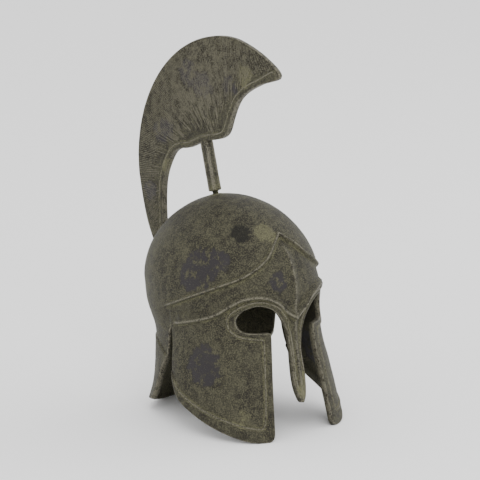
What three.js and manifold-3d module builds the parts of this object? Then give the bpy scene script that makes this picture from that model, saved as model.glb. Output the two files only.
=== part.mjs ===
// A Corinthian-type bronze helmet with a tall upright crest, at wearable size.
// Millimetres, +Z up, the face looks along -Y.  It stands on the tips of its two
// cheek guards and on the nape of its neck guard.
//
// The bowl is described by two numbers: "turn", the angle in degrees from the nose
// round to the nape, and "climb", the height up to the widest level of the crown and,
// above it, the way up over the crown.  Every edge, rib and border is drawn in them.

import * as THREE from 'three';
import { mergeVertices } from 'three/addons/utils/BufferGeometryUtils.js';
import Module from 'manifold-3d';

const wasm = await Module();
wasm.setup();

// ---------------------------------------------------------------- driving dimensions

const CROWN_START = 176;         // height of the widest level of the crown
const CROWN_TOP = 283;           // height of the top of the crown
const CROWN_FULLNESS = 1.9;      // 2 is a true ellipse, less is more pointed
const NAPE_SQUARENESS = 2.1;     // exponent of the rear half of a level
const CHEEK_END = 80;            // the cheek shape ends at this turn ...
const NECK_START = 105;          // ... and the neck shape begins at this one

const WALL = { low: 4, brow: 4.8, top: 3 };   // thickness of the cast wall
const RIM_THICKNESS = 8;         // thickness of the guards along their edges
const RIM_RAISE = 1.5;           // height of the raised borders over the wall
const GAP = 0.3;                 // clearance between pieces that touch
const CUTTING_CENTRE = new THREE.Vector3(0, 0, 105);   // openings are cut outwards from here

const KEEL = { raise: 2.6, spread: 5, from: 30, to: 250 };   // ridge down the forehead and nasal
const RECESS = { depth: 2.4, foot: 0.6 };         // the forehead lies below the crown's edge
const BROW_RIB = { raise: 4, foot: 4.8, top: 2.6 };   // its height and half widths
const CROWN_LIP = { raise: 2, width: 2.2 };     // thin raised line along the crown's edge

const CREST = {
  thickness: 6,                  // the crescent plate
  rimThickness: 9,               // its raised rim
  rimWidth: 8,
  arcCentre: [4.4, 306.7],         // (y, z) of the outer arc
  arcRadius: 175.7,
};
const POST = { side: 12.5, foot: [31, 279], head: [48.8, 345], pinRadius: 3.6, pinLength: 9, neck: 4 };

// Levels of the bowl below the crown: half widths at the cheeks and at the neck,
// and the reach forward and back from the vertical axis.
const LEVELS = [
  { height: 0, cheek: 115, neck: 106, front: 140, rear: 112, square: 2.8 },
  { height: 38, cheek: 108.5, neck: 97, front: 131.5, rear: 99.5, square: 2.8 },
  { height: 76, cheek: 101.5, neck: 94, front: 123.5, rear: 96.5, square: 2.7 },
  { height: 113, cheek: 95, neck: 92.5, front: 117, rear: 101, square: 2.5 },
  { height: 145, cheek: 95, neck: 97.5, front: 115.5, rear: 117.5, square: 2.3 },
  { height: CROWN_START, cheek: 98, neck: 98, front: 118, rear: 123.5, square: 2.15 },
];

// The lower edge of the crown, a raised line that rises to a peak over the forehead.
const CROWN_EDGE = [
  { turn: 0, climb: 255 }, { turn: 10, climb: 242 }, { turn: 21, climb: 223 },
  { turn: 38, climb: 203 }, { turn: 53, climb: 191 }, { turn: 65, climb: 181 },
  { turn: 81, climb: 167 }, { turn: 105, climb: 146 },
];

// The middle of the brow rib, from the root of the nose over the eye to the temple.
const BROW = [
  { turn: 0, climb: 147 }, { turn: 9, climb: 157.5 }, { turn: 16.5, climb: 170 },
  { turn: 27.5, climb: 178 }, { turn: 39.5, climb: 176 }, { turn: 48.5, climb: 167 },
  { turn: 57.7, climb: 155 }, { turn: 70.5, climb: 145 }, { turn: 94, climb: 132 },
];

// Edge of the face opening on one side, and the inner line of the raised border along it.
const FACE_EDGE = [
  { turn: 6.4, climb: 118, inTurn: 3.6, inClimb: 119 },
  { turn: 7.6, climb: 130, inTurn: 4.6, inClimb: 132 },
  { turn: 11.7, climb: 145, inTurn: 8.2, inClimb: 149 },
  { turn: 19.3, climb: 159.5, inTurn: 16.4, inClimb: 165 },
  { turn: 29.8, climb: 166, inTurn: 29.5, inClimb: 172.5 },
  { turn: 39.5, climb: 161, inTurn: 42, inClimb: 166.5 },
  { turn: 44.3, climb: 152, inTurn: 49.6, inClimb: 155 },
  { turn: 45.2, climb: 145, inTurn: 51.2, inClimb: 145 },
  { turn: 43.6, climb: 138, inTurn: 48.6, inClimb: 133 },
  { turn: 39.8, climb: 133.6, inTurn: 41.9, inClimb: 126 },
  { turn: 32.6, climb: 132, inTurn: 33, inClimb: 123.5 },
  { turn: 23, climb: 131.5, inTurn: 28.6, inClimb: 122.5 },
  { turn: 21.2, climb: 129, inTurn: 27.9, inClimb: 119 },
  { turn: 21.4, climb: 108, inTurn: 27.6, inClimb: 108 },
  { turn: 22.2, climb: 79, inTurn: 28, inClimb: 79 },
  { turn: 22.9, climb: 51, inTurn: 28.6, inClimb: 51 },
  { turn: 23.5, climb: 22, inTurn: 29.6, inClimb: 28 },
  { turn: 23.8, climb: 9, inTurn: 30.6, inClimb: 20 },
  { turn: 24.8, climb: 3, inTurn: 31.6, inClimb: 18.4 },
  { turn: 27, climb: 0, inTurn: 33, inClimb: 18 },
];

// The bottom edge of a cheek guard and the inner line of its border.
const GUARD_FOOT = [
  { turn: 27, climb: 0, inTurn: 33, inClimb: 18 },
  { turn: 33, climb: 0, inTurn: 36, inClimb: 19 },
  { turn: 40.5, climb: 3, inTurn: 42.9, inClimb: 22.5 },
  { turn: 50, climb: 9.5, inTurn: 51, inClimb: 27.5 },
  { turn: 60, climb: 18, inTurn: 60.5, inClimb: 34 },
  { turn: 70.3, climb: 28, inTurn: 70.8, inClimb: 42 },
  { turn: 78, climb: 36, inTurn: 78.5, inClimb: 49 },
  { turn: 84, climb: 44.5, inTurn: 84, inClimb: 56 },
  { turn: 87.5, climb: 53, inTurn: 86, inClimb: 60 },
];

// Rear edge of a cheek guard, upwards, then the front edge of the neck guard, downwards.
const NOTCH = [
  { turn: 84, climb: 44 }, { turn: 87.5, climb: 53 }, { turn: 91, climb: 66 },
  { turn: 93.6, climb: 84 }, { turn: 94.9, climb: 112 }, { turn: 95, climb: 126 },
  { turn: 95.8, climb: 128.5 }, { turn: 96.8, climb: 126 }, { turn: 99.2, climb: 113 },
  { turn: 100.6, climb: 98 }, { turn: 103, climb: 83 }, { turn: 109, climb: 68 },
  { turn: 114.5, climb: 50 }, { turn: 120, climb: 30 }, { turn: 124, climb: 20 },
];

const NAPE_FOOT = [
  { turn: 124, climb: 20 }, { turn: 135, climb: 15 }, { turn: 150, climb: 7 },
  { turn: 164, climb: 1.5 }, { turn: 171, climb: 0 }, { turn: 180, climb: 0 },
];

// Half width of the nasal, from its tip up to where the eye openings begin.
const NASAL = [
  { climb: 40, turn: 0.6 }, { climb: 42.5, turn: 1.7 }, { climb: 50, turn: 3.4 },
  { climb: 60, turn: 4.9 }, { climb: 74, turn: 5.6 }, { climb: 92, turn: 5.4 },
  { climb: 106, turn: 5.2 },
];

// Lower edge of the crest from its front tip back to the tail on the nape, as (y, z).
const CREST_UNDERSIDE = [
  [-57, 430], [-36, 420], [-21, 410], [-11.5, 399], [-3, 382], [4, 364], [11, 355.5],
  [24, 350], [50, 344], [78, 332], [94, 329], [107, 322.5], [117, 309], [125, 292],
  [129, 274], [130, 245], [127, 205],
];

// ---------------------------------------------------------------- curves in the tables

/** Smooth value of one column of a table of rows, at a place along its first column. */
function smooth(rows, along, column, at) {
  const last = rows.length - 1;
  let i = 0;
  while (i < last - 1 && at > rows[i + 1][along]) i += 1;
  const step = (k) => rows[k + 1][along] - rows[k][along];
  const rise = (k) => (rows[k + 1][column] - rows[k][column]) / step(k);
  const slope = (k) => {
    if (k === 0) return rise(0);
    if (k === last) return rise(last - 1);
    return (rise(k - 1) * step(k) + rise(k) * step(k - 1)) / (step(k - 1) + step(k));
  };
  const width = step(i);
  const t = (at - rows[i][along]) / width;
  const t2 = t * t;
  const t3 = t2 * t;
  return (2 * t3 - 3 * t2 + 1) * rows[i][column] + (t3 - 2 * t2 + t) * width * slope(i)
    + (3 * t2 - 2 * t3) * rows[i + 1][column] + (t3 - t2) * width * slope(i + 1);
}

/** Rows of a table with extra rows on smooth curves between them. */
function refine(rows, columns, pieces) {
  const curves = columns.map((name) => rows.map((row, i) => ({ i, value: row[name] })));
  const out = [];
  for (let k = 0; k <= (rows.length - 1) * pieces; k += 1) {
    const at = k / pieces;
    out.push(Object.fromEntries(columns.map((name, c) => [name, smooth(curves[c], 'i', 'value', at)])));
  }
  return out;
}

const ease = (t) => {
  const s = Math.min(1, Math.max(0, t));
  return s * s * (3 - 2 * s);
};

// ---------------------------------------------------------------- the bowl's surface

const CROWN_HEIGHT = CROWN_TOP - CROWN_START;
const CLIMB_END = CROWN_START + CROWN_HEIGHT * Math.PI / 2;

function bowlPoint(turn, climb) {
  const level = Math.min(climb, CROWN_START);
  const arc = Math.max(0, (climb - CROWN_START) / CROWN_HEIGHT);
  const round = (Math.sin(arc) ** CROWN_FULLNESS + Math.max(0, Math.cos(arc)) ** CROWN_FULLNESS)
    ** (-1 / CROWN_FULLNESS);
  const narrow = Math.max(0, Math.cos(arc)) * round;
  const towardsNeck = ease((Math.abs(turn) - CHEEK_END) / (NECK_START - CHEEK_END));
  const mix = (a, b) => a + (b - a) * towardsNeck;
  const value = (column) => smooth(LEVELS, 'height', column, level);
  const angle = THREE.MathUtils.degToRad(turn);
  const across = Math.sin(angle);
  const ahead = Math.cos(angle);
  const square = mix(value('square'), NAPE_SQUARENESS);
  const size = narrow * (Math.abs(across) ** square + Math.abs(ahead) ** square) ** (-1 / square);
  const reach = ahead > 0 ? value('front') : value('rear');
  const height = climb > CROWN_START ? CROWN_START + CROWN_HEIGHT * Math.sin(arc) * round : climb;
  return new THREE.Vector3(
    size * mix(value('cheek'), value('neck')) * across,
    -size * reach * ahead,
    height,
  );
}

/** Direction out of the wall. */
function bowlNormal(turn, climb) {
  const probe = 0.4;
  const high = Math.min(climb, CLIMB_END - 2);
  const around = bowlPoint(turn + probe, high).sub(bowlPoint(turn - probe, high));
  const upward = bowlPoint(turn, high + probe).sub(bowlPoint(turn, high - probe));
  return around.cross(upward).normalize();
}

/** The ridge down the middle of the forehead and the nasal. */
function keel(turn, climb) {
  const fade = ease((climb - KEEL.from) / 20) * ease((KEEL.to - climb) / 30);
  return KEEL.raise * fade * Math.max(0, 1 - Math.abs(turn) / KEEL.spread);
}

function wallAt(climb) {
  const upper = ease((climb - CROWN_START) / CROWN_HEIGHT);
  const lower = ease((climb - 90) / 50);
  return WALL.low + (WALL.brow - WALL.low) * lower + (WALL.top - WALL.brow) * upper;
}

/** A point raised off the bowl's outer surface, or sunk below it. */
function raised(turn, climb, raise) {
  return bowlPoint(turn, climb).addScaledVector(bowlNormal(turn, climb), raise + keel(turn, climb));
}

// ---------------------------------------------------------------- solids from loops

function solidFromTriangles(points, triangles) {
  const geometry = new THREE.BufferGeometry();
  const vertices = new Float32Array(points.flatMap((p) => [p.x, p.y, p.z]));
  geometry.setAttribute('position', new THREE.BufferAttribute(vertices, 3));
  geometry.setIndex(triangles.flat());
  return solidFromGeometry(geometry);
}

/** A closed three.js geometry as a manifold-3d solid, turned outside out if needed. */
function solidFromGeometry(source) {
  const geometry = source.clone();
  geometry.deleteAttribute('normal');
  geometry.deleteAttribute('uv');
  const merged = mergeVertices(geometry, 1e-4);
  const vertProperties = new Float32Array(merged.attributes.position.array);
  const kept = [];
  for (let i = 0; i < merged.index.count; i += 3) {
    const [a, b, c] = [0, 1, 2].map((k) => merged.index.getX(i + k));
    if (a !== b && b !== c && c !== a) kept.push(a, b, c);
  }
  const corner = (k) => new THREE.Vector3().fromArray(vertProperties, 3 * k);
  let volume = 0;
  for (let i = 0; i < kept.length; i += 3) {
    volume += corner(kept[i]).dot(corner(kept[i + 1]).cross(corner(kept[i + 2])));
  }
  const triVerts = new Uint32Array(volume < 0 ? kept.reverse() : kept);
  return new wasm.Manifold(new wasm.Mesh({ numProp: 3, vertProperties, triVerts }));
}

/** A solid through a row of loops with equally many points each. */
function solidThroughLoops(loops, joined = false) {
  const count = loops[0].length;
  const triangles = [];
  const rounds = joined ? loops.length : loops.length - 1;
  for (let i = 0; i < rounds; i += 1) {
    const here = i * count;
    const next = ((i + 1) % loops.length) * count;
    for (let k = 0; k < count; k += 1) {
      const side = (k + 1) % count;
      triangles.push([here + k, here + side, next + side], [here + k, next + side, next + k]);
    }
  }
  if (!joined) {
    const end = (loops.length - 1) * count;
    for (let k = 1; k < count - 1; k += 1) {
      triangles.push([0, k + 1, k], [end, end + k, end + k + 1]);
    }
  }
  return solidFromTriangles(loops.flat(), triangles);
}

/** A cutter that runs out through the wall from a point inside the bowl. */
function cutterThroughWall(outline) {
  const within = 0.45;
  const beyond = 1.9;
  const plan = outline.map((p) => new THREE.Vector2(p.turn, p.climb));
  const caps = THREE.ShapeUtils.triangulateShape(plan, []);
  const count = plan.length;
  const scaled = (scale) => outline.map((p) => {
    const point = bowlPoint(p.turn, Math.max(0, p.climb));
    point.z = p.climb;
    return point.sub(CUTTING_CENTRE).multiplyScalar(scale).add(CUTTING_CENTRE);
  });
  const triangles = caps.map((t) => [...t]);
  caps.forEach(([a, b, c]) => triangles.push([a + count, c + count, b + count]));
  for (let k = 0; k < count; k += 1) {
    const side = (k + 1) % count;
    const flipped = THREE.ShapeUtils.isClockWise(plan);
    const [a, b] = flipped ? [side, k] : [k, side];
    triangles.push([b, a, a + count], [b, a + count, b + count]);
  }
  return solidFromTriangles([...scaled(within), ...scaled(beyond)], triangles);
}

const mirrored = (rows) => rows.map((row) => {
  const copy = { ...row, turn: -row.turn };
  if ('inTurn' in row) copy.inTurn = -row.inTurn;
  return copy;
});

function joinedSolid(solids) {
  return solids.reduce((whole, next) => whole.add(next));
}

// ---------------------------------------------------------------- the helmet shell

const BOWL_TURNS = 72;
const INNER_TURNS = 44;
const CHEEK_ROWS = 7;
const FOREHEAD_ROWS = 3;
const CROWN_ROWS = 9;
const BROW_END = 90;             // the brow rib fades out behind this turn
const EDGE_END = 92;             // and the crown's edge behind this one

/** One column of the outer surface, from the ground up, with its ribs and steps. */
function outerColumn(turn) {
  const side = Math.abs(turn);
  const browFade = 1 - ease((side - BROW_END) / 6);
  const edgeFade = 1 - ease((side - EDGE_END) / 12);
  const brow = smooth(BROW, 'turn', 'climb', Math.min(side, 94));
  const edge = smooth(CROWN_EDGE, 'turn', 'climb', Math.min(side, 105));
  const { foot, top, raise } = BROW_RIB;
  const rows = [{ climb: -6, raise: 0 }];
  for (let k = 0; k < CHEEK_ROWS; k += 1) {
    rows.push({ climb: (brow - foot) * k / CHEEK_ROWS, raise: 0 });
  }
  rows.push({ climb: brow - foot, raise: 0 }, { climb: brow - top, raise: raise * browFade });
  rows.push({ climb: brow + top, raise: raise * browFade });
  for (let k = 0; k <= FOREHEAD_ROWS; k += 1) {
    const part = k / FOREHEAD_ROWS;
    const depth = RECESS.foot + (RECESS.depth - RECESS.foot) * part;
    const low = brow + foot;
    rows.push({ climb: low + (edge - CROWN_LIP.width - low) * part, raise: -depth * edgeFade });
  }
  rows.push({ climb: edge, raise: CROWN_LIP.raise * edgeFade });
  rows.push({ climb: edge + CROWN_LIP.width, raise: CROWN_LIP.raise * edgeFade });
  rows.push({ climb: edge + 2 * CROWN_LIP.width, raise: 0 });
  const start = edge + 2 * CROWN_LIP.width;
  for (let k = 1; k < CROWN_ROWS; k += 1) {
    rows.push({ climb: start + (CLIMB_END - start) * k / CROWN_ROWS, raise: 0 });
  }
  return rows.map(({ climb, raise: height }) => ({ climb, raise: height + keel(turn, climb) }));
}

/** One column of the inner surface. */
function innerColumn() {
  const climbs = [-12, 0, 30, 60, 90, 115, 135, 155, 176, 196, 218, 242, 268, 300];
  return climbs.map((climb) => ({ climb, raise: -wallAt(Math.max(0, climb)) }));
}

/** A closed solid through columns that all have the same number of rows. */
function bowlSolid(column, turns, lift) {
  const columns = Array.from({ length: turns }, (_, k) => {
    const turn = -180 + 360 * k / turns;
    return column(turn).map((row) => {
      const level = Math.max(row.climb, 0);
      const point = bowlPoint(turn, level).addScaledVector(bowlNormal(turn, level), row.raise + lift);
      point.z += row.climb - level;
      return point;
    });
  });
  const rows = columns[0].length;
  const points = columns.flat();
  const foot = points.push(new THREE.Vector3(0, 0, columns[0][0].z)) - 1;
  const topDepth = column(0)[rows - 1].raise;
  const top = points.push(new THREE.Vector3(0, 0, CROWN_TOP + topDepth + lift)) - 1;
  const triangles = [];
  for (let k = 0; k < turns; k += 1) {
    const a = k * rows;
    const b = ((k + 1) % turns) * rows;
    for (let i = 0; i < rows - 1; i += 1) {
      triangles.push([a + i, b + i, b + i + 1], [a + i, b + i + 1, a + i + 1]);
    }
    triangles.push([foot, b, a], [top, a + rows - 1, b + rows - 1]);
  }
  return solidFromTriangles(points, triangles);
}

/** Raised border along an edge: it overshoots the edge, which is cut clean later. */
function border(rows, pieces) {
  const overshoot = 0.35;
  const depth = RIM_THICKNESS - RIM_RAISE;
  const columns = ['turn', 'climb', 'inTurn', 'inClimb'];
  const loops = refine(rows, columns, pieces).map((row) => {
    const turn = row.turn + (row.turn - row.inTurn) * overshoot;
    const climb = Math.max(-4, row.climb + (row.climb - row.inClimb) * overshoot);
    const edge = (raise) => {
      const point = raised(turn, Math.max(0, climb), raise);
      point.z += Math.min(0, climb);
      return point;
    };
    return [
      edge(RIM_RAISE),
      raised(row.inTurn, row.inClimb, RIM_RAISE),
      raised(row.inTurn, row.inClimb, -depth),
      edge(-depth),
    ];
  });
  return solidThroughLoops(loops);
}

/** The nasal: a blade as thick as the rims, with its ridge. */
function nasalBlade() {
  const overshoot = 3;
  const climbs = [34, 40, 50, 62, 74, 84, 94, 104, 114, 124, 134, 146];
  const loops = climbs.map((climb) => {
    const rootWide = 6.4 + Math.max(0, climb - 118) * 0.2;
    const half = (climb < 106 ? 5.6 : rootWide) + overshoot;
    return [
      raised(-half, climb, RIM_RAISE), raised(-2.4, climb, 0.9), raised(0, climb, RIM_RAISE),
      raised(2.4, climb, 0.9), raised(half, climb, RIM_RAISE),
      bowlPoint(half, climb).addScaledVector(bowlNormal(half, climb), RIM_RAISE - RIM_THICKNESS),
      bowlPoint(-half, climb).addScaledVector(bowlNormal(-half, climb), RIM_RAISE - RIM_THICKNESS),
    ];
  });
  return solidThroughLoops(loops);
}

/** Everything below the bottom edge of the guards. */
function groundCutter() {
  const columns = ['turn', 'climb'];
  const edge = [
    { turn: 0, climb: 0 }, ...refine(GUARD_FOOT, columns, 3), { turn: 95, climb: 30 },
    { turn: 108, climb: 20 }, ...refine(NAPE_FOOT, columns, 3),
  ];
  const turns = edge.slice(0, -1).map((row) => row.turn);
  const rows = [...turns.slice(1).map((t) => -t).reverse(), ...turns, 180];
  const loops = rows.map((turn) => {
    const climb = Math.max(0, edge.find((row) => row.turn === Math.abs(turn)).climb);
    const point = bowlPoint(turn, climb);
    const at = (scale, height) => new THREE.Vector3(point.x * scale, point.y * scale, height);
    return [at(0.45, climb), at(0.9, climb), at(1.06, climb), at(1.7, climb), at(1.7, -40), at(0.45, -40)];
  });
  return solidThroughLoops(loops, true);
}

function faceCutter() {
  const below = -14;
  const edge = refine(FACE_EDGE, ['turn', 'climb'], 2);
  const side = [...NASAL, ...edge, { turn: 27, climb: below }];
  const outline = [...mirrored(side).reverse(), ...side];
  return cutterThroughWall(outline);
}

function notchCutter(rows) {
  const below = -14;
  const ends = [rows[rows.length - 1].turn, rows[0].turn].map((turn) => ({ turn, climb: below }));
  return cutterThroughWall([...rows, ...ends]);
}

/** The square post's frame: its foot on the crown, its axis and its length. */
const postFoot = new THREE.Vector3(0, ...POST.foot);
const postAxis = new THREE.Vector3(0, ...POST.head).sub(postFoot);
const postLength = postAxis.length();
postAxis.normalize();
const postTilt = Math.atan2(postAxis.y, postAxis.z);

function pinGeometry(radius, length, middle) {
  const geometry = new THREE.CylinderGeometry(radius, radius, length, 16);
  geometry.rotateX(Math.PI / 2 - postTilt);
  const centre = postFoot.clone().addScaledVector(postAxis, middle);
  return geometry.translate(centre.x, centre.y, centre.z);
}

function helmetShell() {
  const wall = bowlSolid(outerColumn, BOWL_TURNS, 0).subtract(bowlSolid(innerColumn, INNER_TURNS, 0));
  const trims = joinedSolid([
    nasalBlade(),
    border(FACE_EDGE, 2), border(mirrored(FACE_EDGE), 2),
    border(GUARD_FOOT, 2), border(mirrored(GUARD_FOOT), 2),
  ]);
  const cutters = [
    faceCutter(), notchCutter(NOTCH), notchCutter(mirrored(NOTCH)), groundCutter(),
    solidFromGeometry(pinGeometry(POST.pinRadius + GAP, 40, 0)),
  ];
  return cutters.reduce((solid, cutter) => solid.subtract(cutter), wall.add(trims));
}

// ---------------------------------------------------------------- crest and post

/** The crescent's outline, drawn in y and z. */
function crestShape() {
  const [cy, cz] = CREST.arcCentre;
  const radius = CREST.arcRadius;
  const start = THREE.MathUtils.degToRad(90);
  const finish = THREE.MathUtils.degToRad(-8);
  const along = (rows) => rows.map(([y, z]) => new THREE.Vector2(y, z));
  const shape = new THREE.Shape();
  shape.moveTo(-57, 430);
  shape.lineTo(-80, 437);
  shape.quadraticCurveTo(-94.5, 442, -86.5, 448.6);
  const arcStart = [cy + radius * Math.cos(start), cz + radius * Math.sin(start)];
  shape.splineThru(along([[-77.5, 455.3], [-56, 466.6], [-34, 475], [-12, 480.8], arcStart]));
  shape.absarc(cy, cz, radius, start, finish, true);
  shape.splineThru(along([[171.5, 252], [162.5, 223], [150, 198], [139, 180]]));
  shape.quadraticCurveTo(130, 166, 124, 178);
  shape.splineThru(along([...CREST_UNDERSIDE].reverse()));
  return shape;
}

function plateFromShape(shape, thickness) {
  const geometry = new THREE.ExtrudeGeometry(shape, {
    depth: thickness, bevelEnabled: false, curveSegments: 20,
  });
  geometry.translate(0, 0, -thickness / 2);
  geometry.applyMatrix4(new THREE.Matrix4().set(
    0, 0, 1, 0,
    1, 0, 0, 0,
    0, 1, 0, 0,
    0, 0, 0, 1,
  ));
  return solidFromGeometry(geometry);
}

/** Raised rim along the underside of the crest and the inner side of its tail. */
function crestRim() {
  const route = new THREE.SplineCurve([[-78, 441], ...CREST_UNDERSIDE].map(([y, z]) => new THREE.Vector2(y, z)));
  const steps = 48;
  const loops = route.getPoints(steps).map((point, k) => {
    const heading = route.getTangent(k / steps);
    const inward = new THREE.Vector2(-heading.y, heading.x);
    const far = point.clone().addScaledVector(inward, CREST.rimWidth);
    const half = CREST.rimThickness / 2;
    return [
      new THREE.Vector3(-half, point.x, point.y), new THREE.Vector3(half, point.x, point.y),
      new THREE.Vector3(half, far.x, far.y), new THREE.Vector3(-half, far.x, far.y),
    ];
  });
  return solidThroughLoops(loops);
}

function crestPlate() {
  const seat = new THREE.BoxGeometry(POST.side + 2 * GAP, POST.side + 2 * GAP, 2 * postLength);
  seat.rotateX(-postTilt);
  seat.translate(postFoot.x, postFoot.y, postFoot.z);
  const bowlBehind = bowlSolid(outerColumn, BOWL_TURNS, GAP);
  return plateFromShape(crestShape(), CREST.thickness).add(crestRim())
    .subtract(solidFromGeometry(seat)).subtract(bowlBehind);
}

function crestPost() {
  const square = new THREE.BoxGeometry(POST.side, POST.side, postLength - POST.neck - GAP);
  square.rotateX(-postTilt);
  const middle = postFoot.clone().addScaledVector(postAxis, (postLength + POST.neck - GAP) / 2);
  square.translate(middle.x, middle.y, middle.z);
  const pin = pinGeometry(POST.pinRadius, POST.pinLength + POST.neck + 1, (POST.neck + 1 - POST.pinLength) / 2);
  return solidFromGeometry(square).add(solidFromGeometry(pin));
}

// ---------------------------------------------------------------- the object

function meshFromSolid(name, solid, material) {
  const { vertProperties, triVerts } = solid.getMesh();
  const geometry = new THREE.BufferGeometry();
  geometry.setAttribute('position', new THREE.BufferAttribute(vertProperties, 3));
  geometry.setIndex(new THREE.BufferAttribute(triVerts, 1));
  const mesh = new THREE.Mesh(geometry, material);
  mesh.name = name;
  return mesh;
}

const bronze = new THREE.MeshStandardMaterial({ color: 0x3b3a2c, roughness: 0.55, metalness: 0.8 });
const darkBronze = new THREE.MeshStandardMaterial({ color: 0x34302c, roughness: 0.5, metalness: 0.8 });

const helmet = new THREE.Group();
helmet.add(meshFromSolid('helmet_shell', helmetShell(), bronze));
helmet.add(meshFromSolid('crest_plate', crestPlate(), darkBronze));
helmet.add(meshFromSolid('crest_post', crestPost(), bronze));

// The origin is on the ground, under the middle of the whole object.
const bounds = new THREE.Box3().setFromObject(helmet);
helmet.position.set(0, -(bounds.min.y + bounds.max.y) / 2, 0);

const object = new THREE.Group();
object.add(helmet);

export default object;
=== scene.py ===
"""A Corinthian-type bronze helmet with a tall upright crest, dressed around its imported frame.

Shapes are worked out in millimetres around the upright axis of the bowl and placed in the
frame, in metres, at the end. The face looks along -Y and the wearer's right is -X.
"""

import math

import bmesh
import bpy
import numpy as np
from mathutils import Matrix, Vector, noise
from mathutils.geometry import delaunay_2d_cdt
from mathutils.kdtree import KDTree


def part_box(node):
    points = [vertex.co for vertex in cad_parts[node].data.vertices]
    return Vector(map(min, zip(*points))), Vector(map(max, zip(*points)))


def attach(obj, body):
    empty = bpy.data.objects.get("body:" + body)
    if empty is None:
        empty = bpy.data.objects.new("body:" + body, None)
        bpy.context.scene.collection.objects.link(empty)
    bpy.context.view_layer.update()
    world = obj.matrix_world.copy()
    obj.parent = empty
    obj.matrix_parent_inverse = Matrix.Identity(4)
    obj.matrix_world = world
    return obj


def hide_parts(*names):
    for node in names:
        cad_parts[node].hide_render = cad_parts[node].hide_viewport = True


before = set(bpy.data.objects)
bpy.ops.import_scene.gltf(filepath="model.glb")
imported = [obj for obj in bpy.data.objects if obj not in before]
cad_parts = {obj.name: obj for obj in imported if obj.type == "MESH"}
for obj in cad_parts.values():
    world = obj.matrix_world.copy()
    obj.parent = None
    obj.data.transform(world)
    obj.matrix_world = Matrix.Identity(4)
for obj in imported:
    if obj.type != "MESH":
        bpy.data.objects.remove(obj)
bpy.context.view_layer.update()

MM = 0.001

# ------------------------------------------------------------------ driving dimensions, mm

CROWN_START = 176.0              # height of the widest level of the crown
CROWN_TOP = 283.0                # height of the top of the crown
CROWN_FULLNESS = 1.9
NAPE_SQUARENESS = 2.1
CHEEK_END = 80.0                 # degrees round from the nose
NECK_START = 105.0

WALL_LOW, WALL_BROW, WALL_TOP = 4.0, 4.8, 3.0
RIM_DEPTH = 6.5                  # how far a thick rim reaches below the bowl's surface
RIM_RAISE = 1.5                  # and how far it stands above it
EDGE_ROUND = 1.6                 # radius along every edge of the casting

# Heights of the relief over the smooth bowl.
BROW_LOWER, BROW_SADDLE, BROW_UPPER = 4.1, 2.5, 3.2
CROWN_LIP = 2.2
CROWN_GROOVE = 0.45
FOREHEAD_STEP, FOREHEAD_SLOPE = 0.6, 1.8
NECK_SETBACK = 1.9
KEEL_RAISE = 2.6
KEEL_SPREAD = 5.0                # degrees to each side of the middle
NASAL_RAISE = 0.9
BORDER_BEAD, BORDER_GROOVE = 0.35, 0.95
BORDER_BEAD_IN, BORDER_GROOVE_IN = 1.1, 2.5     # how far inside the border's inner line
PIN_BOSS = 0.9
CAST_WAVE, CAST_WAVE_SIZE = 0.35, 24
CAST_RIPPLE, CAST_RIPPLE_SIZE = 0.14, 7

CREST_HALF = 3.0                 # half thickness of the crescent plate
CREST_RIM_HALF = 4.5
CREST_RIM_WIDTH = 8.0
CREST_CENTRE = np.array([4.4, 306.7])
CREST_RADIUS = 175.7

POST_SIDE = 12.5
POST_FOOT = np.array([0.0, 31.0, 279.0])
POST_HEAD = np.array([0.0, 48.8, 345.0])
POST_NECK = 4.0
POST_SQUARENESS = 14             # exponent of the bar's section: a square with round corners
PIN_RADIUS = 3.6

# The bowl's axis stands where the crest's outer arc puts it.
BOWL_AXIS_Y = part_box("crest_plate")[1].y / MM - (CREST_CENTRE[0] + CREST_RADIUS)


def table(names, *rows):
    """A short table as named columns."""
    return {name: np.array([row[i] for row in rows], float) for i, name in enumerate(names.split())}


LEVELS = table(
    "height cheek neck front rear square",
    (0, 115, 106, 140, 112, 2.8),
    (38, 108.5, 97, 131.5, 99.5, 2.8),
    (76, 101.5, 94, 123.5, 96.5, 2.7),
    (113, 95, 92.5, 117, 101, 2.5),
    (145, 95, 97.5, 115.5, 117.5, 2.3),
    (CROWN_START, 98, 98, 118, 123.5, 2.15),
)

# Lower edge of the crown, a raised line that rises to a peak over the forehead.
CROWN_EDGE = table(
    "turn climb",
    (0, 255), (10, 242), (21, 223), (38, 203), (53, 191), (65, 181), (81, 167), (105, 146),
)

# Middle of the brow rib, from the root of the nose over the eye to the temple.
BROW = table(
    "turn climb",
    (0, 147), (9, 157.5), (16.5, 170), (27.5, 178), (39.5, 176), (48.5, 167), (57.7, 155),
    (70.5, 145), (94, 132),
)

# Edge of one half of the face opening, upwards along the nasal, round the eye and down the
# front of the cheek guard, with the inner line of the raised border beside it.
FACE_EDGE = table(
    "turn climb in_turn in_climb",
    (0, 39.6, 0, 44.5), (1.0, 40.6, 0.5, 45.6), (2.2, 44.5, 0.9, 49), (3.4, 50, 1.5, 53.5),
    (4.9, 60, 2.7, 61.5), (5.6, 74, 3.4, 74), (5.4, 92, 3.2, 92), (5.2, 106, 3, 106),
    (6.4, 118, 3.6, 119), (7.6, 130, 4.6, 132), (11.7, 145, 8.2, 149),
    (19.3, 159.5, 16.4, 165), (29.8, 166, 29.5, 172.5), (39.5, 161, 42, 166.5),
    (44.3, 152, 49.6, 155), (45.2, 145, 51.2, 145), (43.6, 138, 48.6, 133),
    (39.8, 133.6, 41.9, 126), (32.6, 132, 33, 123.5), (23, 131.5, 28.6, 122.5),
    (21.2, 129, 27.9, 119), (21.4, 108, 27.6, 108), (22.2, 79, 28, 79), (22.9, 51, 28.6, 51),
    (23.5, 22, 29.6, 28), (23.8, 9, 30.6, 20), (24.8, 3, 31.6, 18.4), (27, 0, 33, 18),
)

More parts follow.
